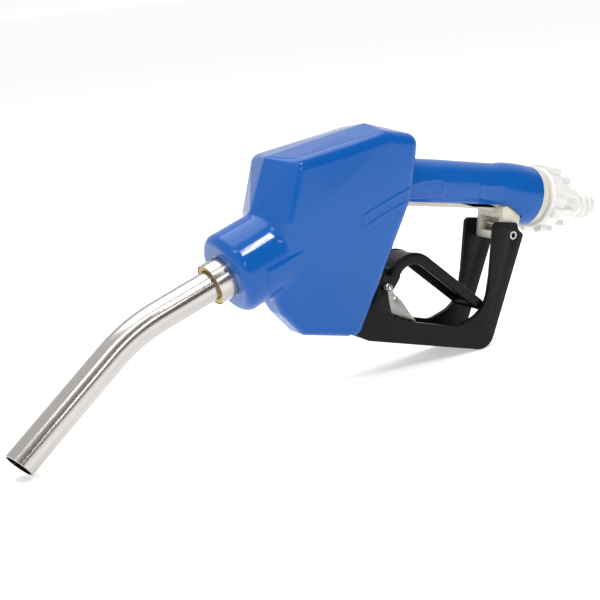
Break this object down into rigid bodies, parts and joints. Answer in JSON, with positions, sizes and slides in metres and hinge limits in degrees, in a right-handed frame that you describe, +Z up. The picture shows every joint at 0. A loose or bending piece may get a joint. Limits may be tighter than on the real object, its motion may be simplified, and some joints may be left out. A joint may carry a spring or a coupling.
{
  "type": "fuel nozzle",
  "caption": "Hand-held automatic dispensing nozzle: bent steel spout, padded cover over a valve body, squeeze lever in a guard, barbed hose tail with a union nut.",
  "frame": {"origin": "under the middle of the bounding box, on the surface the nozzle stands on, when it rests on its spout tip and the heel of its guard", "axes": "+Z up, +X from the spout towards the hose, +Y to the user's left across the nozzle, which is its thin direction"},
  "size_m": [0.452, 0.064, 0.1645],
  "materials": {
    "cover_blue": "dip-moulded soft PVC cover, glossy saturated blue with soft ripples",
    "body_ivory": "moulded ivory polypropylene, satin",
    "white_plastic": "moulded white polypropylene, satin with flow marks",
    "black_plastic": "fine-textured black glass-filled nylon",
    "stainless": "drawn stainless steel, cross-brushed, warm grey",
    "brass_ring": "yellow-passivated snap ring",
    "seal_rubber": "black EPDM"
  },
  "bodies": {
    "root": {"splash_cover": "cover_blue", "valve_body": "body_ivory", "spout_tube": "stainless", "vent_tube": "stainless", "spout_collar": "stainless", "spout_retaining_ring": "brass_ring", "spout_seal": "seal_rubber", "check_valve_seat": "stainless", "check_valve_spring": "stainless", "stem_guide_bush": "brass_ring", "stem_gland": "white_plastic", "stem_seal": "seal_rubber", "main_valve_seat": "stainless", "main_spring": "stainless", "valve_bonnet": "white_plastic", "diaphragm": "seal_rubber", "diaphragm_cap": "white_plastic", "cap_screw_1": "stainless", "cap_screw_2": "stainless", "cap_screw_3": "stainless", "cap_screw_4": "stainless", "diaphragm_spring": "stainless", "latch_spring": "stainless", "lever_guard": "black_plastic", "guard_pin": "stainless", "guard_screw_near": "stainless", "guard_screw_far": "stainless", "lug_dowel": "stainless", "hose_gasket": "seal_rubber", "inlet_strainer": "stainless"},
    "latch": {"latch_shaft": "stainless", "latch_roller_near": "stainless", "latch_roller_far": "stainless", "lever_pivot_pin": "stainless"},
    "lever": {"hand_lever": "black_plastic", "clip_pin": "stainless", "clip_spring": "stainless"},
    "clip": {"hold_open_clip": "stainless"},
    "main_valve": {"valve_stem": "stainless", "main_poppet": "white_plastic", "main_valve_seal": "seal_rubber"},
    "check_valve": {"check_valve_poppet": "white_plastic"},
    "diaphragm_plunger": {"diaphragm_pin": "stainless"},
    "nut": {"union_nut": "white_plastic"},
    "tail": {"hose_tail": "white_plastic"}
  },
  "joints": [
    {"name": "latch_trip", "type": "slide", "parent": "root", "child": "latch", "axis": [0.1115, 0, -0.9938], "range_m": [0, 0.005], "stiffness_N_per_m": 1500, "springref_m": -0.003, "deforming": ["latch_spring"]},
    {"name": "lever_squeeze", "type": "hinge", "parent": "latch", "child": "lever", "pos_m": [0.02183, 0, 0.045], "axis": [0, -1, 0], "range_deg": [0, 18], "stiffness_Nm_per_rad": 2, "springref_deg": -17.19},
    {"name": "clip_swing", "type": "hinge", "parent": "lever", "child": "clip", "pos_m": [0.03527, 0, 0.05792], "axis": [0, -1, 0], "range_deg": [0, 30], "stiffness_Nm_per_rad": 0.02, "springref_deg": -22.92},
    {"name": "main_valve_lift", "type": "slide", "parent": "root", "child": "main_valve", "axis": [-0.8655, 0, 0.5008], "range_m": [0, 0.0105], "deforming": ["main_spring"]},
    {"name": "check_valve_open", "type": "slide", "parent": "root", "child": "check_valve", "axis": [-0.9566, 0, -0.2915], "range_m": [0, 0.004], "stiffness_N_per_m": 300, "springref_m": -0.004, "deforming": ["check_valve_spring"]},
    {"name": "diaphragm_lift", "type": "slide", "parent": "root", "child": "diaphragm_plunger", "axis": [-0.1115, 0, 0.9938], "range_m": [0, 0.0025], "stiffness_N_per_m": 400, "springref_m": -0.002, "deforming": ["diaphragm_spring", "diaphragm"]},
    {"name": "nut_turn", "type": "hinge", "parent": "root", "child": "nut", "pos_m": [0.16328, 0, 0.09481], "axis": [0.957, 0, -0.29], "continuous": true},
    {"name": "tail_swivel", "type": "hinge", "parent": "root", "child": "tail", "pos_m": [0.16328, 0, 0.09481], "axis": [0.957, 0, -0.29], "continuous": true}
  ],
  "couplings": [
    {"joint": "main_valve_lift", "follows": "lever_squeeze", "m_per_rad": 0.0315}
  ]
}
